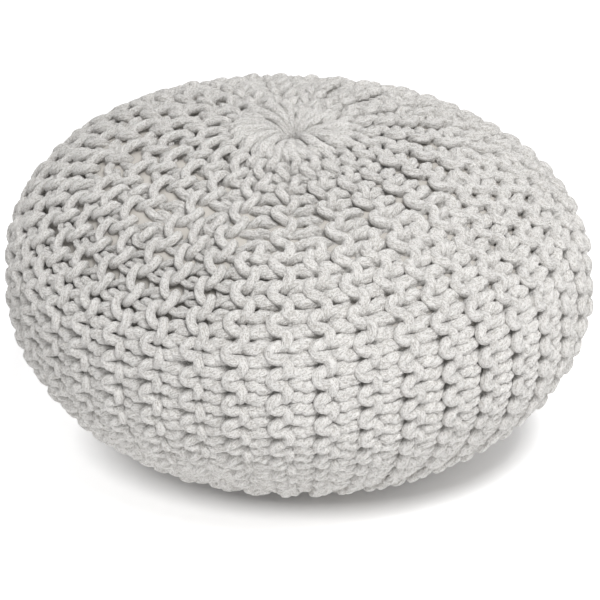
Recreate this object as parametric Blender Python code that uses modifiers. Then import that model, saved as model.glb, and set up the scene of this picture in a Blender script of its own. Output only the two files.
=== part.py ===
"""A round pouf, hand knitted from thick cotton cord and filled firm.

It is one filled solid: a crowned top drawn in at its middle, full sides with the knitting's upright ribs, and an
underside that its own weight has flattened. Metres, +Z up. It stands on z = 0 with its middle over the origin.
Azimuth 0 is the front, -Y, and azimuth grows towards +X, the viewer's right.
"""

import math

import bpy
import numpy as np

# Driving dimensions
DIAMETER = 0.500  # across the widest ribs
HEIGHT = 0.300  # from the floor to the rim of the drawn-in crown
WIDEST_HEIGHT = 0.150  # where the sides stand out furthest
SETTLE = 0.010  # how far the pouf has sunk onto its underside

# How full the outline is: the exponents of a superellipse, (radius / RADIUS) ** across + (height) ** up = 1, where
# 2 and 2 are a plain ellipse. Above, the top is a low cone with full shoulders. Below, it is near an ellipse.
FULLNESS = {
    "above": {"across": 1.6, "up": 3.1},
    "below": {"across": 2.2, "up": 1.85},
}

# The crown, where all the courses are drawn together on one thread
GATHER_RADIUS = 0.026
GATHER_DEPTH = 0.007

# Ribs. Every second one is a short row that stops before the crown and before the middle of the underside
RIB_COUNT = 42
LONG_RIB_COUNT = RIB_COUNT // 2
RIB_RISE = 0.007  # from the valley between two ribs to their crest
LONG_RIB_AZIMUTH = math.radians(-4.5)  # the crest of the long rib nearest the front
SHORT_ROW_END = {"gone": 0.132, "whole": 0.160}  # radii between which a short rib rises
CROWN_RIBS = {"gone": 0.010, "whole": 0.034}  # radii between which a long rib rises
FOOT_RIBS = {"gone": 0.001, "whole": 0.026}  # heights between which the ribs rise from the floor

# Handwork is uneven: the crown leans to the left, the left shoulder is fuller, and the girth swells and narrows
LEAN = 0.004
SHOULDER = 0.005
GIRTH_WAVES = [
    {"waves": 2, "height": 0.0016, "azimuth": math.radians(80)},
    {"waves": 3, "height": 0.0012, "azimuth": math.radians(-35)},
    {"waves": 5, "height": 0.0008, "azimuth": math.radians(10)},
]

# How finely the solid is faceted
COLUMNS_PER_RIB = 4
SIDE_ROWS = 25
FLOOR_ROWS = 3
OUTLINE_SAMPLES = 800
MERGE_DISTANCE = 0.00001

RADIUS = DIAMETER / 2
NAME = "knitted_pouf"
CORD_COLOUR = (0.80, 0.785, 0.76, 1.0)
CORD_ROUGHNESS = 0.9


def clear_scene():
    for old in list(bpy.data.objects):
        bpy.data.objects.remove(old)


def rise(value, gone, whole):
    """0 up to gone, 1 from whole on, and a soft step between them."""
    share = min(max((value - gone) / (whole - gone), 0.0), 1.0)
    return share * share * (3.0 - 2.0 * share)


def outline():
    """Radius and height down the smooth outline, from the crown to the ring where it meets the floor."""
    quarter = np.linspace(0.0, math.pi / 2, OUTLINE_SAMPLES)
    above, below = FULLNESS["above"], FULLNESS["below"]
    top_radius = RADIUS * np.sin(quarter) ** (2 / above["across"])
    top_height = WIDEST_HEIGHT + (HEIGHT - WIDEST_HEIGHT) * np.cos(quarter) ** (2 / above["up"])
    low_radius = RADIUS * np.cos(quarter) ** (2 / below["across"])
    low_height = WIDEST_HEIGHT - (WIDEST_HEIGHT + SETTLE) * np.sin(quarter) ** (2 / below["up"])
    radius = np.concatenate([top_radius, low_radius[1:]])
    height = np.concatenate([top_height, low_height[1:]])
    height -= GATHER_DEPTH * np.exp(-((radius / GATHER_RADIUS) ** 2)) * (height > WIDEST_HEIGHT)
    standing = height > 0.0
    floor_radius = float(np.interp(0.0, -height[OUTLINE_SAMPLES:], radius[OUTLINE_SAMPLES:]))
    return np.append(radius[standing], floor_radius), np.append(height[standing], 0.0)


def profile_points():
    """The half section at +X, down the outer side and then in along the floor."""
    radius, height = outline()
    length = np.concatenate([[0.0], np.cumsum(np.hypot(np.diff(radius), np.diff(height)))])
    stops = np.linspace(0.0, length[-1], SIDE_ROWS + 1)
    points = [(float(np.interp(s, length, radius)), 0.0, float(np.interp(s, length, height))) for s in stops]
    floor_radius = points[-1][0]
    points += [(floor_radius * (1 - step / FLOOR_ROWS), 0.0, 0.0) for step in range(1, FLOOR_ROWS + 1)]
    return points


def turned_mesh():
    """The profile turned once round Z by a Screw modifier, as a mesh of its own."""
    points = profile_points()
    line = bpy.data.meshes.new("half_section")
    line.from_pydata(points, [(i, i + 1) for i in range(len(points) - 1)], [])
    turned = bpy.data.objects.new("half_section", line)
    bpy.context.scene.collection.objects.link(turned)
    screw = turned.modifiers.new("turn", "SCREW")
    screw.steps = screw.render_steps = RIB_COUNT * COLUMNS_PER_RIB
    screw.use_merge_vertices = True
    screw.merge_threshold = MERGE_DISTANCE
    seen = turned.evaluated_get(bpy.context.evaluated_depsgraph_get())
    mesh = bpy.data.meshes.new_from_object(seen)
    bpy.data.objects.remove(turned)
    mesh.name = NAME
    return mesh


def rib_drop(azimuth, radius, height):
    """How far the surface lies below the rib crests: nothing on a crest, RIB_RISE in a valley."""
    along = azimuth - LONG_RIB_AZIMUTH
    crest_of_all = (1 + math.cos(RIB_COUNT * along)) / 2
    crest_of_long = (1 + math.cos(LONG_RIB_COUNT * along)) / 2
    short_rows = rise(radius, **SHORT_ROW_END)
    crest = crest_of_long + (crest_of_all - crest_of_long) * short_rows
    shown = rise(radius, **CROWN_RIBS) * rise(height, **FOOT_RIBS)
    return RIB_RISE * (1 - crest) * shown


def girth_swell(azimuth):
    """How much further out the uneven girth stands at this azimuth."""
    return sum(w["height"] * math.cos(w["waves"] * (azimuth - w["azimuth"])) for w in GIRTH_WAVES)


def raise_ribs(mesh):
    """Sinks the valleys between the ribs along the smooth surface's normals, then makes the girth uneven."""
    normals = [vertex.normal.copy() for vertex in mesh.vertices]
    for vertex, normal in zip(mesh.vertices, normals):
        point = vertex.co
        radius = math.hypot(point.x, point.y)
        azimuth = math.atan2(point.x, -point.y)
        drop = rib_drop(azimuth, radius, point.z)
        swell = girth_swell(azimuth) / RADIUS
        point -= normal * drop
        point.x *= 1 + swell
        point.y *= 1 + swell


def lean_over(mesh):
    """The crown leans left, and the left shoulder stands higher than the right one. The floor stays level."""
    for vertex in mesh.vertices:
        point = vertex.co
        up = point.z / HEIGHT
        point.z -= SHOULDER * point.x / RADIUS * up * up
        point.x += LEAN * (1 - 2 * up)


def set_to_size(mesh):
    """Brings the finished shape to the named diameter and height, with its middle over the origin."""
    corners = np.array([vertex.co[:] for vertex in mesh.vertices])
    low, high = corners.min(axis=0), corners.max(axis=0)
    middle = (low + high) / 2
    across = DIAMETER / (high[0] - low[0])
    up = HEIGHT / (high[2] - low[2])
    for vertex in mesh.vertices:
        point = vertex.co
        point.x = (point.x - middle[0]) * across
        point.y = (point.y - middle[1]) * across
        point.z = (point.z - low[2]) * up


def cord_material():
    """Matt off-white cotton."""
    material = bpy.data.materials.new("cotton_cord")
    material.use_nodes = True
    shader = material.node_tree.nodes["Principled BSDF"]
    shader.inputs["Base Color"].default_value = CORD_COLOUR
    shader.inputs["Roughness"].default_value = CORD_ROUGHNESS
    shader.inputs["Metallic"].default_value = 0.0
    return material


def build_pouf():
    mesh = turned_mesh()
    raise_ribs(mesh)
    lean_over(mesh)
    set_to_size(mesh)
    mesh.shade_smooth()
    mesh.materials.clear()
    mesh.materials.append(cord_material())
    pouf = bpy.data.objects.new(NAME, mesh)
    collection = bpy.data.collections.new(NAME)
    bpy.context.scene.collection.children.link(collection)
    collection.objects.link(pouf)


clear_scene()
build_pouf()
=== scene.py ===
# %% [markdown]
# # A knitted pouf, cord by cord
# The real thing is a cover, hand knitted from thick soft cotton cord in garter stitch, pulled over a round
# bag of filling. The rows run from the crown over the side to the underside, so the ridges of the garter
# stitch stand upright. Every second ridge is a short one, turned back before it reaches the crown.
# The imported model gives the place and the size. This lesson lays the real cord into that space, stitch by
# stitch.

# %% The frame
import math

import bpy
import numpy as np
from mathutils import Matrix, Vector


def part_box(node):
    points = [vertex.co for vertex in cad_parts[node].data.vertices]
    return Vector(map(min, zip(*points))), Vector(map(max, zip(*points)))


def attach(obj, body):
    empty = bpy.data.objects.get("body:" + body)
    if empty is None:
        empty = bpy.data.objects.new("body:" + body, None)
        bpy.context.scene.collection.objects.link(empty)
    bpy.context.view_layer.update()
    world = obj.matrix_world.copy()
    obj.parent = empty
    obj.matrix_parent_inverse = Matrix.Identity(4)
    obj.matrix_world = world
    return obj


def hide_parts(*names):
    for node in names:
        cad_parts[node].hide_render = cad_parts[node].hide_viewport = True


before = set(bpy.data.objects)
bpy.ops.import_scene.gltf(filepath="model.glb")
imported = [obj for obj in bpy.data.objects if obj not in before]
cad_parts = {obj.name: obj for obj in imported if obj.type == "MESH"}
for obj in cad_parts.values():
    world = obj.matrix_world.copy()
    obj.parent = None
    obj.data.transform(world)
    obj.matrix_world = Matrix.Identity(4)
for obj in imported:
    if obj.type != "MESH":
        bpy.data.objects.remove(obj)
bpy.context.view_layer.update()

bpy.ops.object.select_all(action="DESELECT")
NODE = "knitted_pouf"
low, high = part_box(NODE)
DIAMETER = high.x - low.x
HEIGHT = high.z - low.z
RADIUS = DIAMETER / 2
print("the solid is", [round(side * 1000) for side in high - low], "mm")

# %% [markdown]
# The photograph was taken from well above and from some way off. A long lens at three metres gives the same
# gentle perspective, and the aim puts the pouf where the photograph has it in the frame.

# %% The camera
CAMERA_ELEVATION = math.radians(28.5)
CAMERA_DISTANCE = 3.0
LENS_MM = 211.6
AIM = Vector((0.0, 0.0, 0.1313))

camera_data = bpy.data.cameras.new("camera")
camera_data.lens = LENS_MM
camera = bpy.data.objects.new("camera", camera_data)
bpy.context.scene.collection.objects.link(camera)
camera.location = (
    0.0,
    -CAMERA_DISTANCE * math.cos(CAMERA_ELEVATION),
    HEIGHT / 2 + CAMERA_DISTANCE * math.sin(CAMERA_ELEVATION),
)
camera.rotation_euler = (AIM - camera.location).to_track_quat("-Z", "Y").to_euler()
bpy.context.scene.camera = camera
print("the camera stands at", [round(v, 3) for v in camera.location])

# %% [markdown]
# The pouf's outline is a curve from the crown, over the shoulder and the widest place, down to the floor and
# in along the floor. It could be drawn point by point, but a filled ball that sags is close to a
# superellipse, so two of them with different exponents give the low cone of the top and the rounder lower
# half. Everything that follows is placed by its distance down this outline and its azimuth, which is 0 at
# the front and grows to the right.

# %% The outline
WIDEST_HEIGHT = 0.150  # where the sides stand out furthest
SETTLE = 0.010  # how far the pouf has sunk onto its underside
# the exponents across and up, where 2 and 2 are a plain ellipse
FULLNESS = {"above": (1.6, 3.1), "below": (2.2, 1.85)}
GATHER_RADIUS = 0.026  # the dip of the crown, where all the cords are drawn together
GATHER_DEPTH = 0.007
QUARTER_SAMPLES = 4000
OUTLINE_STEP = 0.0005


def outline():
    """Radius and height every half millimetre down the outline, ending at the middle of the underside."""
    quarter = np.linspace(0.0, math.pi / 2, QUARTER_SAMPLES)
    across, up = FULLNESS["above"]
    top_radius = RADIUS * np.sin(quarter) ** (2 / across)
    top_height = WIDEST_HEIGHT + (HEIGHT - WIDEST_HEIGHT) * np.cos(quarter) ** (2 / up)
    top_height -= GATHER_DEPTH * np.exp(-((top_radius / GATHER_RADIUS) ** 2))
    across, up = FULLNESS["below"]
    low_radius = RADIUS * np.cos(quarter) ** (2 / across)
    low_height = WIDEST_HEIGHT - (WIDEST_HEIGHT + SETTLE) * np.sin(quarter) ** (2 / up)
    standing = low_height > 0.0
    radius = np.concatenate([top_radius, low_radius[standing][1:], [0.0]])
    height = np.concatenate([top_height, low_height[standing][1:], [0.0]])
    length = np.concatenate([[0.0], np.cumsum(np.hypot(np.diff(radius), np.diff(height)))])
    even = np.arange(0.0, length[-1], OUTLINE_STEP)
    return even, np.interp(even, length, radius), np.interp(even, length, height)


PATH, PATH_RADIUS, PATH_HEIGHT = outline()
PATH_END = PATH[-1]
print("down the outline from middle to middle:", round(PATH_END * 1000), "mm")

# %% [markdown]
# Handwork is uneven: the girth swells and narrows by a millimetre or two, the crown leans to the left, and
# the left shoulder is fuller. `skin` holds all of that, so that a cord that is placed on it follows it by
# itself. Its third value is how far the point lies outside the skin, or inside where it is negative.

# %% The skin
LEAN = 0.004
SHOULDER = 0.005
# how many waves go round the girth, how high they are, and the azimuth of a crest
GIRTH_WAVES = ((2, 0.0016, math.radians(80)), (3, 0.0012, math.radians(-35)), (5, 0.0008, math.radians(10)))
NORMAL_REACH = 0.006  # how far above and below a point the slope of the outline is taken


def radius_at(down):
    return np.interp(down, PATH, PATH_RADIUS)


def skin(down, azimuth, out):
    """Points at a distance down the outline, an azimuth and a distance out along the outline's normal."""
    above, below = down - NORMAL_REACH, down + NORMAL_REACH
    run = radius_at(below) - radius_at(above)
    fall = np.interp(below, PATH, PATH_HEIGHT) - np.interp(above, PATH, PATH_HEIGHT)
    slope = np.hypot(run, fall)
    radius = radius_at(down) - fall / slope * out
    height = np.interp(down, PATH, PATH_HEIGHT) + run / slope * out
    swell = sum(rise * np.cos(waves * (azimuth - turn)) for waves, rise, turn in GIRTH_WAVES)
    radius = radius * (1 + swell / RADIUS)
    x = radius * np.sin(azimuth)
    up = height / HEIGHT
    z = height - SHOULDER * x / RADIUS * up * up
    return np.stack([x + LEAN * (1 - 2 * up), -radius * np.cos(azimuth), z], axis=-1)


girth = float(PATH[np.argmax(PATH_RADIUS)])
print("the front of the girth lies at", [round(float(v), 3) for v in skin(girth, 0.0, 0.0)], "m")


# %% [markdown]
# Knitting is a grid of courses and rings of stitches. A unit of four courses makes one long ridge and one
# short one, and 21 units go round. The rings of stitches lie far apart over the top and the shoulder, and
# closest together on the side, where the cover is slack. Low down, where it is drawn in under the pouf, they
# lie far apart again. `ring_place` turns a count of rings into a distance down the outline.

# %% The grid of the knitting
UNITS = 21
UNIT_TURN = 2 * math.pi / UNITS
COURSE_TURN = UNIT_TURN / 4
LONG_RIDGE_AZIMUTH = math.radians(-3.0)
# how far down the outline, and how far apart the rings are there
RING_PITCH = (
    (0.0, 0.026), (0.10, 0.028), (0.16, 0.029), (0.205, 0.0295), (0.25, 0.0258), (0.29, 0.0225),
    (0.32, 0.0217), (0.41, 0.0215), (0.45, 0.0245), (0.48, 0.0290), (0.66, 0.0300),
)
FIRST_ARC_RING = 3.5  # the ring count of the arc that shows at FIRST_ARC_PLACE on the ridge nearest the front
FIRST_ARC_PLACE = 0.1232

pitch_places, pitches = zip(*RING_PITCH)
ring_count = np.cumsum(OUTLINE_STEP / np.interp(PATH, pitch_places, pitches))
ring_count += FIRST_ARC_RING - np.interp(FIRST_ARC_PLACE, PATH, ring_count)


def ring_place(count):
    return np.interp(count, ring_count, PATH)


def ring_at(down):
    return float(np.interp(down, PATH, ring_count))


def soft_step(value, start, end):
    """0 up to start, 1 from end on, and a soft step between them. It also works downwards."""
    share = np.clip((value - start) / (end - start), 0.0, 1.0)
    return share * share * (3 - 2 * share)


print("rings from middle to middle:", round(float(ring_count[-1] - ring_count[0]), 1))

# %% [markdown]
# No two stitches of a hand knitter are alike. `wander` is a slow unevenness that goes on round the pouf
# without a seam, made of a few sine waves with seeded phases. `jitter` gives each half stitch of a course
# its own small error.

# %% Unevenness
SEED = 2306
WANDER_WAVES = 6
WANDER_TURNS = (1, 9)  # from the first to below the second: how many times a wave goes round
WANDER_SLANT = 45  # at most, how fast a wave turns with the distance down, in radians per metre
ERROR_RINGS = (-1, 34)  # the rings between which the half stitches have errors of their own


def wander(salt, azimuth, down):
    """A smooth field between about -1 and 1."""
    draw = np.random.default_rng(SEED + salt)
    total = 0.0
    for _ in range(WANDER_WAVES):
        turns = draw.integers(*WANDER_TURNS)
        per_metre = draw.uniform(-WANDER_SLANT, WANDER_SLANT)
        phase = draw.uniform(0, 2 * math.pi)
        total = total + np.sin(turns * azimuth + per_metre * down + phase)
    return total / (WANDER_WAVES / 2)


def jitter(draw, ring, amount):
    """One error for each half stitch, joined smoothly along the course."""
    half_stitches = np.arange(2 * ERROR_RINGS[0], 2 * ERROR_RINGS[1])
    errors = draw.normal(0.0, amount, len(half_stitches))
    position = ring * 2 - half_stitches[0]
    index = np.clip(position.astype(int), 0, len(errors) - 2)
    share = soft_step(position - index, 0.0, 1.0)
    return errors[index] * (1 - share) + errors[index + 1] * share


print("the wander there is", round(float(wander(1, 0.0, girth)), 2))


# %% [markdown]
# The cover doesn't fit equally tightly all over. On the left shoulder it is pulled over the filling at a
# slant, so the stitches there lean over and open. On the side it is slack. On the top and low down, near the
# two middles, the courses are narrow and the stitches are crowded. Each of these is a share from 0 to 1, so
# that one kind of stitch passes softly into the next.

# %% Pulled, slack and crowded places
PITCH_RANGE = (0.0215, 0.0290)  # the ring pitch where the cover is slack, and where its rings are wide apart
PULLED_MIDDLE = math.radians(-75)  # the azimuth of the middle of the left shoulder
PULLED_REACH = (math.radians(70), math.radians(52))  # how far aside the pull is gone, and where it is whole
STRETCH_REACH = (0.280, 0.220)  # how far down the pull is gone, and where it is whole
TOP_REACH = (0.175, 0.125)  # the same for the crowded top
LOW_REACH = (0.40, 0.47)  # and for the crowded stitches low down


def left_shoulder(azimuth):
    """1 on the left shoulder, where the stitches are pulled out of shape, and 0 away from it."""
    aside = np.abs((azimuth - PULLED_MIDDLE + math.pi) % (2 * math.pi) - math.pi)
    return soft_step(aside, *PULLED_REACH)


def fit_of_cover(place, middle):
    """The ring pitch, then shares: rings wide apart, pulled, stretched by both, on the top, low down."""
    pitch = np.interp(place, pitch_places, pitches)
    wide = np.clip((pitch - PITCH_RANGE[0]) / (PITCH_RANGE[1] - PITCH_RANGE[0]), 0.0, 1.0)
    pulled = left_shoulder(middle)
    stretch = wide * pulled * soft_step(place, *STRETCH_REACH)
    return pitch, wide, pulled, stretch, soft_step(place, *TOP_REACH), soft_step(place, *LOW_REACH)


def between(slack_and_stretched, stretch):
    slack, stretched = slack_and_stretched
    return slack + (stretched - slack) * stretch


for degrees in (-75, -15, 45):
    print("the pull at", degrees, "degrees is", round(float(left_shoulder(math.radians(degrees))), 2))


# %% [markdown]
# A stitch is a loop of cord: a head that hooks into the course on its right, two legs, and a foot arc that
# goes round the course on its left. Garter stitch has knit and purl rows in turn, so in one course the feet
# lie on the surface, as bright arcs, and in the next one the heads do. These are the two halves of a ridge.
# The depth decides which cord passes over which. One wave can't do that, because a loop goes under and over
# its neighbours more than once. So a short table gives the depth at a few angles from the head to the foot,
# and cosine waves join them into a line that is the same on both legs.

# %% How deep the cord lies
# the depth of the cord's middle under the skin, in mm, at angles from its head (0 degrees) to its foot (180)
FEET_ON_RIDGE = {
    "slack": (
        (0, 13.2), (30, 11.8), (58, 8.4), (76, 8.0), (92, 10.9),
        (108, 11.4), (122, 8.3), (138, 5.2), (155, 4.8), (180, 4.7),
    ),
    "stretched": (
        (0, 15.5), (24, 13.0), (44, 8.4), (76, 7.6), (94, 10.6),
        (108, 11.2), (122, 8.4), (138, 5.4), (155, 4.8), (180, 4.7),
    ),
}
HEADS_ON_RIDGE = {
    "slack": (
        (0, 5.8), (26, 6.4), (46, 10.8), (62, 13.3), (85, 13.0),
        (104, 9.0), (122, 7.8), (150, 11.8), (180, 13.2),
    ),
    "stretched": (
        (0, 5.4), (28, 6.0), (50, 10.5), (65, 12.6), (85, 12.6),
        (104, 10.2), (122, 9.0), (150, 12.5), (180, 14.0),
    ),
}
COSINES = 9
TABLE_SAMPLES = 721
MORE_RELIEF = 0.40  # on the crowded top and foot, how much deeper all the depths are, as a share
MORE_LIFT = 0.0022  # and how far out the cord is moved there, so that its arcs don't sink with the rest
SIDE_SHARE = 0.6  # the share of both on the slack side


def as_cosines(table):
    """The heights of the first cosine waves that together run through a table of angles and depths."""
    angle = np.linspace(0.0, math.pi, TABLE_SAMPLES)
    angles, depths = zip(*table)
    depth = np.interp(np.degrees(angle), angles, depths) / 1000
    return [float(np.mean(depth * np.cos(wave * angle))) * (2 if wave else 1) for wave in range(COSINES)]


FEET_WAVES = {where: as_cosines(table) for where, table in FEET_ON_RIDGE.items()}
HEADS_WAVES = {where: as_cosines(table) for where, table in HEADS_ON_RIDGE.items()}


def depth_of(waves, angle, stretch):
    depths = (
        sum(height * np.cos(wave * angle) for wave, height in enumerate(waves[where]))
        for where in ("slack", "stretched")
    )
    return between(depths, stretch)


def distance_out(angle, feet_on_ridge, fit, error):
    """How far outside the skin the cord's middle lies, which is less than 0 everywhere."""
    _, wide, _, stretch, on_top, low = fit
    relief = on_top + low + SIDE_SHARE * (1 - wide) * (1 - on_top) * (1 - low)
    waves = FEET_WAVES if feet_on_ridge else HEADS_WAVES
    out = error - depth_of(waves, angle, stretch) * (1 + MORE_RELIEF * relief)
    return out + MORE_LIFT * relief


print("a slack foot arc lies", round(float(depth_of(FEET_WAVES, math.pi, 0.0)) * 1000, 1), "mm deep")


# %% [markdown]
# Soft cord isn't equally thick everywhere. Where it is stretched, its legs are drawn thin, and its arcs a
# little less. Where the stitches are crowded it is pressed thinner all over, and where it lies slack on the
# side its legs swell and fill the gaps between the rings.

# %% How thick the cord is
CORD_RADIUS = 0.00475
# the thickness in each kind of place, as a share of that radius
FOOT_PLUMP = 0.84  # a stretched foot arc on a ridge
HEAD_PLUMP = 0.90  # a stretched head on a ridge
LEG_PLUMP = 0.62  # a stretched leg
THIN_REACH = (0.12, 0.18)  # how far down the stretched stitches start to be drawn thin, and fully so
FULL_PLUMP = 1.06  # wide stitches that aren't pulled out of shape
SLACK_LEG_PLUMP = 1.19  # the legs on the slack side
TOP_PLUMP = 0.88  # the crowded top
LOW_PLUMP = 0.82  # the crowded stitches low down
STRAND_PLUMP = 0.60  # a crown strand, pulled tight by the thread
STRAND_REACH = (0.008, 0.040)  # how far from the middle it is that thin, and where it is no longer
PLUMP_WANDER = 0.04  # the slow unevenness of all of it


def plumpness(angle, feet_on_ridge, place, fit):
    """The cord's thickness at each angle of a course, as a share of a relaxed cord's."""
    _, wide, pulled, stretch, on_top, low = fit
    on_ridge = np.clip(-np.cos(angle) if feet_on_ridge else np.cos(angle), 0.0, 1.0)
    arc = FOOT_PLUMP if feet_on_ridge else HEAD_PLUMP
    plump = 1 + stretch * soft_step(place, *THIN_REACH) * (LEG_PLUMP - 1 + (arc - LEG_PLUMP) * on_ridge)
    plump = plump + wide * (1 - pulled) * (1 - on_top) * (FULL_PLUMP - 1) + on_top * (TOP_PLUMP - 1)
    plump = plump + (1 - wide) * (1 - on_ridge) * (1 - on_top) * (SLACK_LEG_PLUMP - 1)
    return plump + low * (LOW_PLUMP - 1)


def cord_thickness(laid):
    """The radius at each point of the laid cords."""
    down, azimuth, _, plump = laid.T
    from_middle = np.minimum(down, PATH_END - down)
    strand = STRAND_PLUMP + (1 - STRAND_PLUMP) * soft_step(from_middle, *STRAND_REACH)
    return CORD_RADIUS * strand * plump * (1 + PLUMP_WANDER * wander(2, azimuth, down))


print("a relaxed cord is", round(CORD_RADIUS * 2000, 1), "mm thick")


# %% [markdown]
# Seen from outside, a course is a wave of loops: a cosine across the course and a sine along it. The hooks
# are how far the loops reach over the edges of their course, into the next one. The swing makes a loop wider
# than its neck, the gather draws its legs together, and the lean tips it over.

# %% One course
FOOT_HOOK = 0.0072  # on a ridge, how far a foot arc reaches over the left edge of its course
HEAD_HOOK = 0.0066  # on a ridge, how far a head reaches over the right edge
VALLEY_FOOT_HOOK = 0.0060  # how far the feet reach in the valleys
VALLEY_HEAD_HOOK = (0.0060, 0.0110)  # how far the heads reach there, slack and stretched
HOOK_LIMIT = 0.36  # and at most, as a share of a unit's width
LOW_HOOK_LESS = 0.35  # how much less far all of them reach low down, as a share
LEAST_RADIUS = 0.02  # nearer to the two middles than this, a unit counts as being this far out
FOOT_SWING = (0.08, 0.20)  # how much wider than a plain wave the feet are, slack and stretched, in pitches
RIDGE_HEAD_SWING = (0.14, 0.27)
VALLEY_HEAD_SWING = (0.14, 0.31)
GATHER = (0.0, 0.075)  # how far the two legs of a loop are drawn together, in pitches
LEAN_OVER = (0.06, 0.32)  # how far the loops lean over, in radians of the wave
RING_DRIFT = 0.018  # how much lower the rings hang on the left, and how much higher they stand on the right
DRIFT_REACH = (0.04, 0.17)  # how far from both middles that starts, and where it is whole
CLOSED_BEYOND = 0.012  # how far beyond the end of a short ridge its two courses have no width left
OPEN_WITHIN = 0.035  # and how far within it they have their full width
LOOSE_ERROR = 0.0007  # the errors of a stitch: how far it reaches over, in metres,
PLACE_ERROR = 0.02  # where it sits along the course, in pitches,
DEPTH_ERROR = 0.0004  # and how deep it lies, in metres
DEPTH_WANDER = 0.0008  # the slow unevenness in depth


def course_edges(course, place, tiers):
    """Left and right edge of a course in its unit, as shares. Beyond its ends a short ridge has no width."""
    spread = soft_step(place, tiers[0] - CLOSED_BEYOND, tiers[0] + OPEN_WITHIN)
    spread = spread * soft_step(place, tiers[1] + CLOSED_BEYOND, tiers[1] - OPEN_WITHIN)
    edges = (0.0, 0.5 - 0.25 * spread, 0.5, 0.5 + 0.25 * spread, 1.0)
    return edges[course], edges[course + 1]


def hook_of(to_head, feet_on_ridge, radius, stretch, low):
    """How far a loop reaches over the edge of its course, changing from its foot to its head."""
    foot_hook, head_hook = VALLEY_FOOT_HOOK, HEAD_HOOK
    if feet_on_ridge:
        foot_hook, head_hook = FOOT_HOOK, between(VALLEY_HEAD_HOOK, stretch)
    hook = foot_hook + (head_hook - foot_hook) * to_head
    return np.minimum(hook * (1 - LOW_HOOK_LESS * low), HOOK_LIMIT * UNIT_TURN * radius)


def drift_at(place, azimuth):
    fade = soft_step(place, *DRIFT_REACH) * soft_step(PATH_END - place, *DRIFT_REACH)
    return -RING_DRIFT * np.sin(azimuth) * fade


def course_line(unit, course, ring, tiers):
    """Distance down, azimuth, distance out and thickness share of a course's cord at each ring count."""
    draw = np.random.default_rng([SEED, unit, course])
    angle = 2 * math.pi * ring
    loose = jitter(draw, ring, LOOSE_ERROR)
    place = ring_place(ring + jitter(draw, ring, PLACE_ERROR))
    left, right = course_edges(course, place, tiers)
    middle = LONG_RIDGE_AZIMUTH + unit * UNIT_TURN + (left + right) / 2 * UNIT_TURN
    fit = fit_of_cover(place, middle)
    pitch, _, _, stretch, _, low = fit

    feet_on_ridge = course % 2 == 0
    to_head = (1 + np.cos(angle)) / 2
    radius = np.maximum(radius_at(place), LEAST_RADIUS)
    hook = hook_of(to_head, feet_on_ridge, radius, stretch, low) + loose
    reach = (right - left) / 2 * UNIT_TURN + hook / radius
    azimuth = middle + reach * np.cos(angle + between(LEAN_OVER, stretch))

    foot_swing = between(FOOT_SWING, stretch)
    head_swing = between(VALLEY_HEAD_SWING if feet_on_ridge else RIDGE_HEAD_SWING, stretch)
    swing = foot_swing + (head_swing - foot_swing) * to_head
    bulge = swing * np.sin(2 * angle) - between(GATHER, stretch) * np.sin(angle)
    down = place + drift_at(place, azimuth) + pitch * bulge

    out = distance_out(angle, feet_on_ridge, fit, jitter(draw, ring, DEPTH_ERROR))
    out = out + DEPTH_WANDER * wander(1, azimuth, down)
    return np.stack([down, azimuth, out, plumpness(angle, feet_on_ridge, place, fit)], axis=-1)


print("two courses are", round(COURSE_TURN * 2 * RADIUS * 1000), "mm wide on the girth")


# %% [markdown]
# At the crown the cord of each long ridge runs in to the middle, where a thread draws all 21 of them
# together, and goes back underneath. So the cord of a long ridge is one closed loop: up one side of the
# ridge, over the crown strand, down the other side, and the same at the underside. A short ridge is a closed
# loop too, with a turn at each end. Closed loops have no ends to hide.

# %% The turns at the ends
# distance from the middle, share of the way to the left (-1) or right (+1) side of the ridge, distance out
CROWN_STRAND = (
    (0.046, 0.6, -0.0050), (0.037, 0.1, -0.0052), (0.029, 0.0, -0.0040), (0.021, 0.0, -0.0034),
    (0.0135, 0.0, -0.0044), (0.008, 0.0, -0.0085), (0.006, 0.0, -0.0150), (0.010, 0.0, -0.0210),
    (0.022, 0.0, -0.0215), (0.032, 0.1, -0.0185),
)
STRAND_ERRORS = (0.15, 0.0021, 0.14)  # sideways as a share like the above, in depth, in thickness as a share
STRAND_STEP = 0.0022
TURN_RISE = 0.007  # how far the arch at the end of a short ridge stands beyond its stitches
TURN_DEPTH = 0.004  # and how much deeper it lies


def smooth_between(points):
    """A run of close points through a few placed ones, on a curve without corners."""
    points = np.array(points)
    last = len(points) - 1
    dense = []
    for i in range(last):
        start, end = points[i], points[i + 1]
        before, after = points[max(i - 1, 0)], points[min(i + 2, last)]
        length = math.hypot(end[0] - start[0], end[2] - start[2])
        steps = max(int(round(length / STRAND_STEP)), 2)
        for share in np.arange(steps) / steps:
            bend = (end - before) * share + (2 * before - 5 * start + 4 * end - after) * share**2
            bend = bend + (3 * start - before - 3 * end + after) * share**3
            dense.append(start + bend / 2)
    return np.array(dense)


def strand(unit, underneath):
    """The way in to the middle and back for a long ridge's cord, over the crown or under the foot."""
    azimuth = LONG_RIDGE_AZIMUTH + unit * UNIT_TURN
    draw = np.random.default_rng([SEED, unit, int(underneath)])
    aside, deeper, thinner = (draw.normal(0.0, amount) for amount in STRAND_ERRORS)
    points = []
    for from_middle, side, out in CROWN_STRAND:
        down = PATH_END - from_middle if underneath else from_middle
        points.append((down, azimuth + (side + aside) * COURSE_TURN, out - deeper, 1.0 - thinner))
    line = smooth_between(points)
    return line[::-1] if underneath else line


def turn(line_from, line_to, rise):
    """A low arch from one course to the next, tucked under the stitches beyond it."""
    middle = (line_from + line_to) / 2 + np.array([rise, 0.0, -TURN_DEPTH, 0.0])
    return smooth_between([line_from, middle, line_to])[1:]


print("a crown strand has", len(strand(0, False)), "points")


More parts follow.
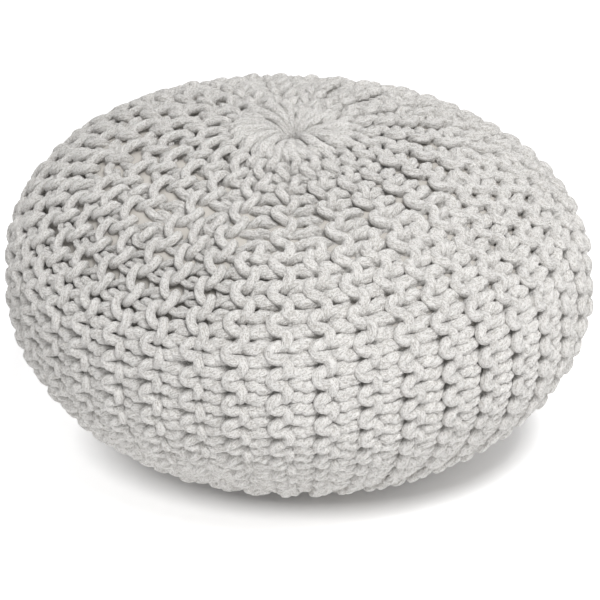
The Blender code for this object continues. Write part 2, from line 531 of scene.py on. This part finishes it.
# %% [markdown]
# Now each ridge's cord is put together: the course on its left upwards, the turn at the top, the course on
# its right downwards and the turn at the foot.

# %% The loops of cord
POINTS_PER_STITCH = 24
LONG_FIRST_RING = 1.0  # the ring count where the stitches of the long ridges begin
LONG_END = 0.052  # how far from the middle below the stitches of the long ridges end
LONG_OVERRUN = 0.7  # how many rings further the right course runs at both ends
SHORT_OVERRUN = 0.25  # how many rings both courses of a short ridge run beyond their end rings
TIER, TIER_ERROR = 0.160, 0.012  # how far from the crown the short ridges start, and how unevenly
LOW_TIER, LOW_TIER_ERROR = 0.125, 0.008  # how far from the middle below they end


def rings_between(start, end):
    count = int(round((end - start) * POINTS_PER_STITCH))
    return start + np.arange(count + 1) / POINTS_PER_STITCH


def long_loop(unit, tiers):
    """The closed cord round a unit's long ridge. Its left half is the last course of the unit before."""
    first, last = LONG_FIRST_RING, round(ring_at(PATH_END - LONG_END))
    before = (unit - 1) % UNITS
    left = course_line(before, 3, rings_between(first, last), tiers[before])
    if unit == 0:
        left[:, 1] -= 2 * math.pi  # the same azimuth, counted from this side of the seam
    right = course_line(unit, 0, rings_between(first - LONG_OVERRUN, last + LONG_OVERRUN), tiers[unit])
    return np.concatenate([left[::-1], strand(unit, False), right, strand(unit, True)])


def short_loop(unit, tiers):
    first, last = round(ring_at(tiers[unit][0])), round(ring_at(tiers[unit][1]))
    rings = rings_between(first - SHORT_OVERRUN, last + SHORT_OVERRUN)
    left = course_line(unit, 1, rings, tiers[unit])
    right = course_line(unit, 2, rings, tiers[unit])
    over = turn(left[0], right[0], -TURN_RISE)
    under = turn(right[-1], left[-1], TURN_RISE)
    return np.concatenate([left[::-1], over, right, under])


draw = np.random.default_rng(SEED)
tiers = []
for _ in range(UNITS):
    start = TIER + draw.uniform(-TIER_ERROR, TIER_ERROR)
    tiers.append((start, PATH_END - LOW_TIER + draw.uniform(-LOW_TIER_ERROR, LOW_TIER_ERROR)))
loops = []
for unit in range(UNITS):
    loops.append(long_loop(unit, tiers))
    loops.append(short_loop(unit, tiers))
loop_sizes = [len(loop) for loop in loops]
laid = np.concatenate(loops)
thickness = cord_thickness(laid)
points = skin(laid[:, 0], laid[:, 1], laid[:, 2])
print(len(loops), "cords,", sum(loop_sizes), "points")

# %% [markdown]
# Curves from a formula cut into each other where the cords cross. Real cords push each other aside. So the
# knitting is now settled: in small steps, every two points of different cords that are too close are pushed
# apart, while each cord resists bending and the knitting holds its place. It is a small simulation of its
# own, with numpy. First it has to know each point's neighbours on its cord, and which points come close.

# %% Which points meet
CELLS_ROUND = (-1, 0, 1)  # along each axis, the cell before, the cell itself and the cell after


def cord_neighbours(sizes):
    """For every point: the one before, the one after, the number of its closed cord and its place there."""
    before, after, owner, place = [], [], [], []
    start = 0
    for number, size in enumerate(sizes):
        index = np.arange(size)
        before.append(start + (index - 1) % size)
        after.append(start + (index + 1) % size)
        owner.append(np.full(size, number))
        place.append(index)
        start += size
    return [np.concatenate(part) for part in (before, after, owner, place)]


def close_pairs(points, reach):
    """Index pairs of points nearer than reach, found in a grid of cells as wide as reach."""
    cell = np.floor((points - points.min(axis=0)) / reach).astype(np.int64) + 1
    shape = cell.max(axis=0) + 2
    key = (cell[:, 0] * shape[1] + cell[:, 1]) * shape[2] + cell[:, 2]
    order = np.argsort(key, kind="stable")
    sorted_key = key[order]
    found = []
    for dx, dy, dz in ((dx, dy, dz) for dx in CELLS_ROUND for dy in CELLS_ROUND for dz in CELLS_ROUND):
        step = (dx * shape[1] + dy) * shape[2] + dz
        if step < 0:
            continue
        start = np.searchsorted(sorted_key, key + step, side="left")
        end = np.searchsorted(sorted_key, key + step, side="right")
        count = end - start
        one = np.repeat(np.arange(len(points)), count)
        within = np.arange(count.sum()) - np.repeat(np.cumsum(count) - count, count)
        other = order[np.repeat(start, count) + within]
        keep = (one < other) if step == 0 else np.ones(len(one), bool)
        one, other = one[keep], other[keep]
        near = ((points[one] - points[other]) ** 2).sum(axis=1) < reach * reach
        found.append(np.stack([one[near], other[near]]))
    return np.concatenate(found, axis=1)


print("pairs of points within a cord's thickness:", close_pairs(points, 2 * CORD_RADIUS).shape[1])


# %% [markdown]
# Then the steps themselves. Only the pulled cords of the left shoulder are tight: there they keep further
# apart and are freer to move, which opens the stitches. Everywhere else the cord is soft, so it is squashed
# where it crosses and stays close to where it was laid. Close to the two middles nothing moves.

# %% Settling the knitting
SETTLE_STEPS = 48
LOOK_AGAIN = 12  # after this many steps the close pairs are looked for again
PAIR_REACH = 2.6  # how close a pair is, in cord radii
NEAR_ALONG = 7  # points this close along one cord aren't a crossing
# how close two cords come, as a share of their two radii
SQUASH = {"slack": 0.46, "stretched": 0.80, "top": 0.52}
# the share of its laid curve that a cord keeps as it straightens
BEND_KEPT = {"slack": 0.96, "stretched": 0.85, "top": 0.96}
# how strongly a point is drawn back to where it was laid
HOLD = {"slack": 0.15, "stretched": 0.04, "top": 0.14}
TIGHT_BELOW = (0.12, 0.17)  # how far down the tight cords start, and where they are fully tight
TIGHT_ABOVE = (0.29, 0.24)  # and the same upwards from where they end
FREE_REACH = (0.020, 0.050)  # how far from both middles points start to move, and where they are quite free
PUSH_SHARE = 0.55  # the share of an overlap by which one step moves each of its two points
BEND_SHARE = 0.35  # the share that one step takes from the bend that a cord doesn't keep
NO_DISTANCE = 1e-6  # two points in one place count as being this far apart


def cord_state(share, tight, on_top):
    """A value for slack, stretched and crowded cord, mixed for each point."""
    stretched = (share["stretched"] - share["slack"]) * tight * (1 - on_top)
    crowded = (share["top"] - share["slack"]) * on_top
    return share["slack"] + stretched + crowded


def push_apart(points, one, other, wanted):
    """How far each point is pushed away by the points that are too close, and the overlaps."""
    gap = points[one] - points[other]
    distance = np.maximum(np.linalg.norm(gap, axis=1), NO_DISTANCE)
    overlap = np.maximum(wanted - distance, 0.0)
    push = gap * (overlap / distance)[:, None]
    weight = np.bincount(one, overlap > 0, len(points)) + np.bincount(other, overlap > 0, len(points))
    move = np.empty_like(points)
    for axis in range(3):
        move[:, axis] = np.bincount(one, push[:, axis], len(points))
        move[:, axis] -= np.bincount(other, push[:, axis], len(points))
    return move / np.maximum(weight, 1.0)[:, None] * PUSH_SHARE, overlap


def settle(points, thickness, laid, sizes):
    """The cords after they have pushed each other aside."""
    before, after, owner, place = cord_neighbours(sizes)
    size_of = np.array(sizes)[owner]
    start_points = points.copy()
    start_bend = (start_points[before] + start_points[after]) / 2 - start_points
    down, azimuth = laid[:, 0], laid[:, 1]
    free = soft_step(np.minimum(down, PATH_END - down), *FREE_REACH)[:, None]
    tight = soft_step(down, *TIGHT_ABOVE) * soft_step(down, *TIGHT_BELOW) * left_shoulder(azimuth)
    on_top = soft_step(down, *TOP_REACH)
    firm, kept, hold = (cord_state(share, tight, on_top) for share in (SQUASH, BEND_KEPT, HOLD))
    for step in range(SETTLE_STEPS):
        if step % LOOK_AGAIN == 0:
            one, other = close_pairs(points, PAIR_REACH * CORD_RADIUS)
            apart = np.abs(place[one] - place[other])
            apart = np.minimum(apart, size_of[one] - apart)
            crossing = (owner[one] != owner[other]) | (apart > NEAR_ALONG)
            one, other = one[crossing], other[crossing]
            wanted = firm[one] * thickness[one] + firm[other] * thickness[other]
        move, overlap = push_apart(points, one, other, wanted)
        bend = (points[before] + points[after]) / 2 - points
        move += BEND_SHARE * (bend - kept[:, None] * start_bend)
        move += hold[:, None] * (start_points - points)
        points = points + move * free
    moved = np.linalg.norm(points - start_points, axis=1).mean()
    print("deepest overlap left:", round(float(overlap.max()) * 1000, 1), "mm,",
          "mean move:", round(float(moved) * 1000, 1), "mm")
    return points


points = settle(points, thickness, laid, loop_sizes)

# %% [markdown]
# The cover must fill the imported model's box exactly, whatever the settling did. So the outermost cords are
# measured and the whole knitting is brought to the box, as the solid was.

# %% Bringing the cords to size


def brought_to_box(points, thickness):
    lowest = (points - thickness[:, None]).min(axis=0)
    highest = (points + thickness[:, None]).max(axis=0)
    across = DIAMETER / (highest[0] - lowest[0])
    up = HEIGHT / (highest[2] - lowest[2])
    print("scaled across by", round(across, 3), "and up by", round(up, 3))
    points = points - np.array([(lowest[0] + highest[0]) / 2, (lowest[1] + highest[1]) / 2, lowest[2]])
    return points * np.array([across, across, up])


points = brought_to_box(points, thickness)

# %% [markdown]
# A cord along a line is what Blender's curve object with a round bevel does best: it keeps the tube round in
# the bends, closes it, and each point may have its own radius. The curve's own texture coordinate counts the
# points, so it is changed to metres along the cord, which the twist of the cord needs.

# %% A cord along a line
BEVEL_SIDES = 10
CORNERS_PER_FACE = 4


def active_only(piece):
    bpy.ops.object.select_all(action="DESELECT")
    piece.select_set(True)
    bpy.context.view_layer.objects.active = piece


def corner_places(mesh):
    places = np.empty(len(mesh.vertices) * 3, np.float32)
    mesh.vertices.foreach_get("co", places)
    return places.reshape(-1, 3)


def cord_curve(name, lines, radii):
    data = bpy.data.curves.new(name, "CURVE")
    data.dimensions = "3D"
    data.bevel_depth = CORD_RADIUS
    data.bevel_resolution = (BEVEL_SIDES - 4) // 2
    data.twist_mode = "MINIMUM"
    for line, radius in zip(lines, radii):
        spline = data.splines.new("POLY")
        spline.points.add(len(line) - 1)
        spline.points.foreach_set("co", np.column_stack([line, np.ones(len(line))]).ravel())
        spline.points.foreach_set("radius", radius / CORD_RADIUS)
        spline.use_cyclic_u = True
        spline.use_smooth = True
    piece = bpy.data.objects.new(name, data)
    bpy.context.scene.collection.objects.link(piece)
    active_only(piece)
    bpy.ops.object.convert(target="MESH")
    return bpy.context.view_layer.objects.active


def uv_in_metres(piece, lines):
    """U in metres along each cord, V once round it. The cords' corners follow each other in the mesh."""
    layer = piece.data.uv_layers[0].uv
    uv = np.empty(len(layer) * 2, np.float32)
    layer.foreach_get("vector", uv)
    uv = uv.reshape(-1, 2)
    start = 0
    for line in lines:
        corners = len(line) * BEVEL_SIDES * CORNERS_PER_FACE
        steps = np.linalg.norm(np.roll(line, -1, axis=0) - line, axis=1)
        length = np.concatenate([[0.0], np.cumsum(steps)])
        part = uv[start:start + corners]
        part[:, 0] = np.interp(part[:, 0] * len(line), np.arange(len(line) + 1), length)
        start += corners
    layer.foreach_set("vector", uv.ravel())


def lie_flat(piece):
    """Presses flat what reaches below the floor."""
    places = corner_places(piece.data)
    places[:, 2] = np.maximum(places[:, 2], 0.0)
    piece.data.vertices.foreach_set("co", places.ravel())
    piece.data.update()


# %% [markdown]
# One piece would be too heavy to handle, and 42 single cords too many. So three units, which are twelve
# courses, share a piece of fewer than 200 000 triangles.

# %% The knitted cover
UNITS_PER_PIECE = 3
ends = np.cumsum(loop_sizes)
cover = []
for first in range(0, UNITS, UNITS_PER_PIECE):
    chosen = range(2 * first, 2 * (first + UNITS_PER_PIECE))
    lines = [points[ends[i] - loop_sizes[i]:ends[i]] for i in chosen]
    radii = [thickness[ends[i] - loop_sizes[i]:ends[i]] for i in chosen]
    piece = cord_curve(f"knitted_cover_{first // UNITS_PER_PIECE + 1}", lines, radii)
    uv_in_metres(piece, lines)
    lie_flat(piece)
    piece.data.shade_smooth()
    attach(piece, "root")
    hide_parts(NODE)
    cover.append(piece)
print(len(cover), "pieces of knitting,", sum(2 * len(p.data.polygons) for p in cover), "triangles")

# %% [markdown]
# Materials are written as sums. A small class stands for one socket: with it, `1 - mask` adds a Math node by
# itself, and one method adds any other node.

# %% A way to write shader maths


class Wire:
    """One output socket of a material, which can be used in sums."""

    def __init__(self, tree, socket=None):
        self.tree = tree
        self.socket = socket

    def node(self, kind, settings=None, sockets=None, output=0):
        made = self.tree.nodes.new(kind)
        for name, value in (settings or {}).items():
            if name == "stops":
                set_stops(made.color_ramp, value)
            else:
                setattr(made, name, value)
        for name, value in (sockets or {}).items():
            if isinstance(value, Wire):
                self.tree.links.new(value.socket, made.inputs[name])
            else:
                made.inputs[name].default_value = value
        return Wire(self.tree, made.outputs[output])

    def math(self, operation, one, other=0.0):
        return self.node("ShaderNodeMath", {"operation": operation}, {0: one, 1: other})

    def __add__(self, other):
        return self.math("ADD", self, other)

    def __sub__(self, other):
        return self.math("SUBTRACT", self, other)

    def __mul__(self, other):
        return self.math("MULTIPLY", self, other)

    __radd__ = __add__
    __rmul__ = __mul__

    def __rsub__(self, other):
        return self.math("SUBTRACT", other, self)


def set_stops(ramp, stops):
    for index, (position, colour) in enumerate(stops):
        stop = ramp.elements[index] if index < 2 else ramp.elements.new(position)
        stop.position = position
        stop.color = colour


# %% [markdown]
# A few steps come back in each material, so each of them is a function.

# %% Steps that all materials share
OBJECT_OUTPUT = 3  # of the Texture Coordinate node
MIX_SHADE, MIX_LIGHT = 6, 7  # the Mix node's two colour sockets
MIX_RESULT = 2  # and its colour output


def new_material(name, everywhere):
    """A material, a first Wire for it, and its shader with what is the same everywhere set."""
    material = bpy.data.materials.new(name)
    material.use_nodes = True
    tree = material.node_tree
    shader = tree.nodes["Principled BSDF"]
    for socket, value in everywhere.items():
        shader.inputs[socket].default_value = value
    return material, Wire(tree), shader


def object_place(wire):
    return wire.node("ShaderNodeTexCoord", None, None, OBJECT_OUTPUT)


def noise(place, look):
    return place.node("ShaderNodeTexNoise", None, {"Vector": place, **look})


def mixed(share, shade, light):
    colours = {"Factor": share, MIX_SHADE: shade, MIX_LIGHT: light}
    return share.node("ShaderNodeMix", {"data_type": "RGBA", "clamp_factor": True}, colours, MIX_RESULT)


def dress(material, shader, colour, height, relief):
    """Wires the colour and the relief, and gives back the material."""
    bump = height.node("ShaderNodeBump", None, {"Height": height, **relief})
    links = material.node_tree.links
    links.new(colour.socket, shader.inputs["Base Color"])
    links.new(bump.socket, shader.inputs["Normal"])
    return material


# %% [markdown]
# The cord is soft cotton: a few plies laid together with a slow twist, each a bundle of fine fibres. Up
# close the fibres run nearly along the cord, and the surface is matt with a faint bloom. Painted in 3-D
# space alone, the fibres would ignore which way a cord runs. So they read the cord's own coordinates:
# metres along, and the angle round, which is turned a little further with every centimetre. The angle is
# used as a cosine and a sine, so there is no seam. Loose fuzz and slow patches have no direction, so they
# read Object coordinates.

# %% The cotton cord
CORD_COLOUR = (0.87, 0.852, 0.825, 1.0)
CORD_SHADE = (0.56, 0.535, 0.50, 1.0)
CORD_EVERYWHERE = {
    "Roughness": 0.92,
    "Specular IOR Level": 0.25,
    "Sheen Weight": 0.25,
    "Sheen Roughness": 0.5,
}
CORD_RELIEF = {"Strength": 1.0, "Distance": 0.0045}
TWIST_PER_METRE = 15.0
PLIES = 4
ROD_PER_METRE = 90.0  # how far the noise moves on with each metre of cord. Less makes longer fibres
FIBRES = {"Scale": 4.2, "Detail": 3.0, "Roughness": 0.75}
PATCHES = {"Scale": 9.0, "Detail": 2.0}
FUZZ = {"Scale": 650.0, "Detail": 2.0, "Roughness": 0.7}
# how much each of them tells in the colour, from the shade (0) to the light (1), and in the relief
# the ply wave also paints the grooves between the plies darker: painted shade
FIBRE_SHADE, FUZZ_SHADE, PLY_PAINTED_SHADE, PATCH_SHADE = 5.2, 4.2, 0.09, 0.5
MEAN_SHADE = 0.70
FIBRE_RELIEF, FUZZ_RELIEF, PLY_RELIEF = 0.9, 0.5, 0.18


def cotton_cord():
    material, wire, shader = new_material("cotton_cord", CORD_EVERYWHERE)
    along_round = wire.node("ShaderNodeUVMap", {"uv_map": cover[0].data.uv_layers[0].name})
    along = wire.node("ShaderNodeSeparateXYZ", None, {0: along_round}, 0)
    around = wire.node("ShaderNodeSeparateXYZ", None, {0: along_round}, 1)
    angle = (around + along * TWIST_PER_METRE) * (2 * math.pi)
    cosine = wire.math("COSINE", angle)
    sine = wire.math("SINE", angle)
    rod = wire.node("ShaderNodeCombineXYZ", None, {0: cosine, 1: sine, 2: along * ROD_PER_METRE})
    fibres = noise(rod, FIBRES)
    ply = wire.math("COSINE", angle * PLIES)
    body = object_place(wire)
    patches = noise(body, PATCHES)
    fuzz = noise(body, FUZZ)
    shade = (fibres - 0.5) * FIBRE_SHADE + (fuzz - 0.5) * FUZZ_SHADE
    # the ply term darkens the grooves between the plies in the colour: painted shade
    shade = shade + ply * PLY_PAINTED_SHADE + (patches - 0.5) * PATCH_SHADE + MEAN_SHADE
    height = fibres * FIBRE_RELIEF + fuzz * FUZZ_RELIEF + ply * PLY_RELIEF
    return dress(material, shader, mixed(shade, CORD_SHADE, CORD_COLOUR), height, CORD_RELIEF)


cord_material = cotton_cord()
for piece in cover:
    piece.data.materials.clear()
    piece.data.materials.append(cord_material)
print("the cord's material has", len(cord_material.node_tree.nodes), "nodes")

# %% [markdown]
# Between the stretched stitches of the shoulder the bag of filling shows: a smooth, firmly filled cloth. It
# is made as any cushion is, by sewing and then filling. A copy of the solid is shrunk to fit inside the
# knitting and remeshed evenly. Its top is drawn in a little, because the cords lie deeper there, and it is
# let out at the shoulder, where they are stretched over it.

# %% The empty bag
BAG_DEPTH = 0.0066  # how far inside the solid the bag lies
MERGE_DISTANCE = 0.0001
SMOOTHING, SMOOTH_ROUNDS = 0.5, 4  # these take the solid's ribs out of the bag
BAG_VOXEL = 0.006
BAG_HOLLOWS = ((0.010, 0.032), (0.011, 0.165))  # how deep its top is drawn in, and how far out that reaches
BAG_SHOULDER = (0.212, 0.022, 0.018)  # the height where it is let out, how far that reaches, and its share


def shrunk_bag():
    bag = bpy.data.objects.new("filled_bag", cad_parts[NODE].data.copy())
    bpy.context.scene.collection.objects.link(bag)
    active_only(bag)
    bpy.ops.object.mode_set(mode="EDIT")
    bpy.ops.mesh.select_all(action="SELECT")
    bpy.ops.mesh.remove_doubles(threshold=MERGE_DISTANCE)
    bpy.ops.mesh.vertices_smooth(factor=SMOOTHING, repeat=SMOOTH_ROUNDS)
    bpy.ops.transform.shrink_fatten(value=-BAG_DEPTH)
    bpy.ops.object.mode_set(mode="OBJECT")
    remesh = bag.modifiers.new("even", "REMESH")
    remesh.mode = "VOXEL"
    remesh.voxel_size = BAG_VOXEL
    bpy.ops.object.modifier_apply(modifier=remesh.name)
    return bag


def shape_bag(bag):
    """Draws the top in and lets the shoulder out."""
    places = corner_places(bag.data)
    radius = np.hypot(places[:, 0], places[:, 1])
    for depth, reach in BAG_HOLLOWS:
        places[:, 2] -= depth * np.exp(-((radius / reach) ** 2)) * (places[:, 2] > HEIGHT / 2)
    height, reach, share = BAG_SHOULDER
    places[:, :2] *= 1 + share * np.exp(-(((places[:, 2:] - height) / reach) ** 2))
    bag.data.vertices.foreach_set("co", places.ravel())


bag = shrunk_bag()
shape_bag(bag)
print("the empty bag has", len(bag.data.vertices), "points")

# %% [markdown]
# A bag shaped by hand would look like a hard shell. So it is blown up a little by Blender's cloth
# simulation, which also draws it into soft wrinkles. A cap keeps it inside the cords.

# %% Filling the bag
BAG_PRESSURE = 4.0
BAG_FRAMES = 20
BAG_CAP = 0.002  # how far the simulation may move a point
NO_MOVE = 1e-9  # a point that stayed counts as moved this far


def blow_up(bag):
    """Fills the bag with the cloth simulation and applies the result, capped."""
    start = corner_places(bag.data)
    cloth = bag.modifiers.new("filling", "CLOTH")
    cloth.settings.use_pressure = True
    cloth.settings.uniform_pressure_force = BAG_PRESSURE
    cloth.settings.effector_weights.gravity = 0.0
    cloth.point_cache.frame_start = 1
    cloth.point_cache.frame_end = BAG_FRAMES
    for number in range(1, BAG_FRAMES + 1):
        bpy.context.scene.frame_set(number)
    active_only(bag)
    bpy.ops.object.modifier_apply(modifier=cloth.name)
    bpy.context.scene.frame_set(1)
    move = corner_places(bag.data) - start
    length = np.maximum(np.linalg.norm(move, axis=1), NO_MOVE)
    places = start + move * np.minimum(1.0, BAG_CAP / length)[:, None]
    bag.data.vertices.foreach_set("co", places.astype(np.float32).ravel())
    print("the bag moved", round(float(length.max()) * 1000, 1), "mm at most before the cap")


blow_up(bag)
subdivision = bag.modifiers.new("smooth", "SUBSURF")
subdivision.levels = subdivision.render_levels = 1
active_only(bag)
bpy.ops.object.modifier_apply(modifier=subdivision.name)
bag.data.shade_smooth()
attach(bag, "root")
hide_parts(NODE)
print("the bag has", sum(len(face.vertices) - 2 for face in bag.data.polygons), "triangles")

# %% [markdown]
# The bag's cloth is a plain close weave, greyer and smoother than the cord. At this distance it needs only a
# faint mottling and a fine weave as relief.

# %% The bag's cloth
BAG_COLOUR = (0.48, 0.458, 0.427, 1.0)
BAG_SHADE = (0.39, 0.368, 0.338, 1.0)
BAG_EVERYWHERE = {"Roughness": 0.95, "Specular IOR Level": 0.2}
BAG_RELIEF = {"Strength": 0.2, "Distance": 0.0004}
MOTTLE = {"Scale": 30.0, "Detail": 3.0}
WEAVE = {"Scale": 900.0, "Detail": 1.0}


def bag_cloth():
    material, wire, shader = new_material("bag_cloth", BAG_EVERYWHERE)
    body = object_place(wire)
    colour = mixed(noise(body, MOTTLE), BAG_SHADE, BAG_COLOUR)
    return dress(material, shader, colour, noise(body, WEAVE), BAG_RELIEF)


bag.data.materials.clear()
bag.data.materials.append(bag_cloth())
print("the bag wears", bag.data.materials[0].name)

# %% [markdown]
# The pouf stands on a plain white floor in a white studio. A floor that is only lit would turn grey round the
# pouf, so this one also glows faintly, in a wide ring round the pouf and not beneath it: painted light, which
# also lights the pouf's lower side. It stays white, and only a narrow contact shadow is left, partly real
# shade and partly a painted shadow where the glow stops.

# %% The floor
FLOOR_SIZE = 30.0
FLOOR_EVERYWHERE = {
    "Base Color": (0.93, 0.93, 0.935, 1.0),
    "Roughness": 0.9,
    "Specular IOR Level": 0.1,
    "Emission Strength": 1.0,
}
# distance from the middle of the glow, and its strength: painted light that ends in a painted shadow under
# the pouf
FLOOR_GLOW = ((0.0, 0.0), (0.115, 0.0), (0.147, 0.52), (0.24, 0.36), (0.5, 0.05))
# the dark patch is the painted shadow where the glow is missing
GLOW_MIDDLE = 0.018  # the dark patch under the pouf lies this far to the right
GLOW_WIDTH = 0.68  # and it is wider than deep


def floor_white_painted_glow():
    material, wire, shader = new_material("floor_white_painted_glow", FLOOR_EVERYWHERE)
    narrow = {0: object_place(wire), 1: (GLOW_WIDTH, 1.0, 1.0)}
    place = wire.node("ShaderNodeVectorMath", {"operation": "MULTIPLY"}, narrow)
    from_middle = wire.node("ShaderNodeVectorMath", {"operation": "LENGTH"}, {0: place}, 1)
    stops = [(distance, (glow, glow, glow, 1.0)) for distance, glow in FLOOR_GLOW]
    # the ramp is painted light round the pouf, and its dark middle a painted contact shadow
    glow = wire.node("ShaderNodeValToRGB", {"stops": stops}, {"Fac": from_middle})
    material.node_tree.links.new(glow.socket, shader.inputs["Emission Color"])
    return material


bpy.ops.object.select_all(action="DESELECT")
bpy.ops.mesh.primitive_plane_add(size=FLOOR_SIZE, location=(GLOW_MIDDLE, 0.0, 0.0))
floor = bpy.context.active_object
floor.name = "floor"
floor.data.materials.append(floor_white_painted_glow())
print("the floor is", round(floor.dimensions.x), "m wide")

# %% [markdown]
# One large soft light shines from above in front, a little to the right, and a weak one from the right. The
# white surroundings lift the shadows between the stitches.

# %% The lights
LIGHTS = {
    "key": {"place": Vector((0.55, -1.45, 2.75)), "size": 1.4, "watts": 80.0},
    "fill": {"place": Vector((2.3, -0.9, 1.1)), "size": 2.0, "watts": 8.0},
}
SURROUNDINGS = {"Color": (1.0, 1.0, 1.0, 1.0), "Strength": 0.75}


def soft_light(name, place, size, watts):
    """A round area light that is turned to the pouf's middle."""
    data = bpy.data.lights.new(name, "AREA")
    data.shape = "DISK"
    data.size = size
    data.energy = watts
    light = bpy.data.objects.new(name, data)
    bpy.context.scene.collection.objects.link(light)
    light.location = place
    light.rotation_euler = (Vector((0.0, 0.0, HEIGHT / 2)) - place).to_track_quat("-Z", "Y").to_euler()


for name, light in LIGHTS.items():
    soft_light(name, **light)
world = bpy.data.worlds.new("studio")
world.use_nodes = True
background = world.node_tree.nodes["Background"]
for socket, value in SURROUNDINGS.items():
    background.inputs[socket].default_value = value
bpy.context.scene.world = world
bpy.context.scene.view_settings.view_transform = "Standard"
print(len(LIGHTS), "lights")
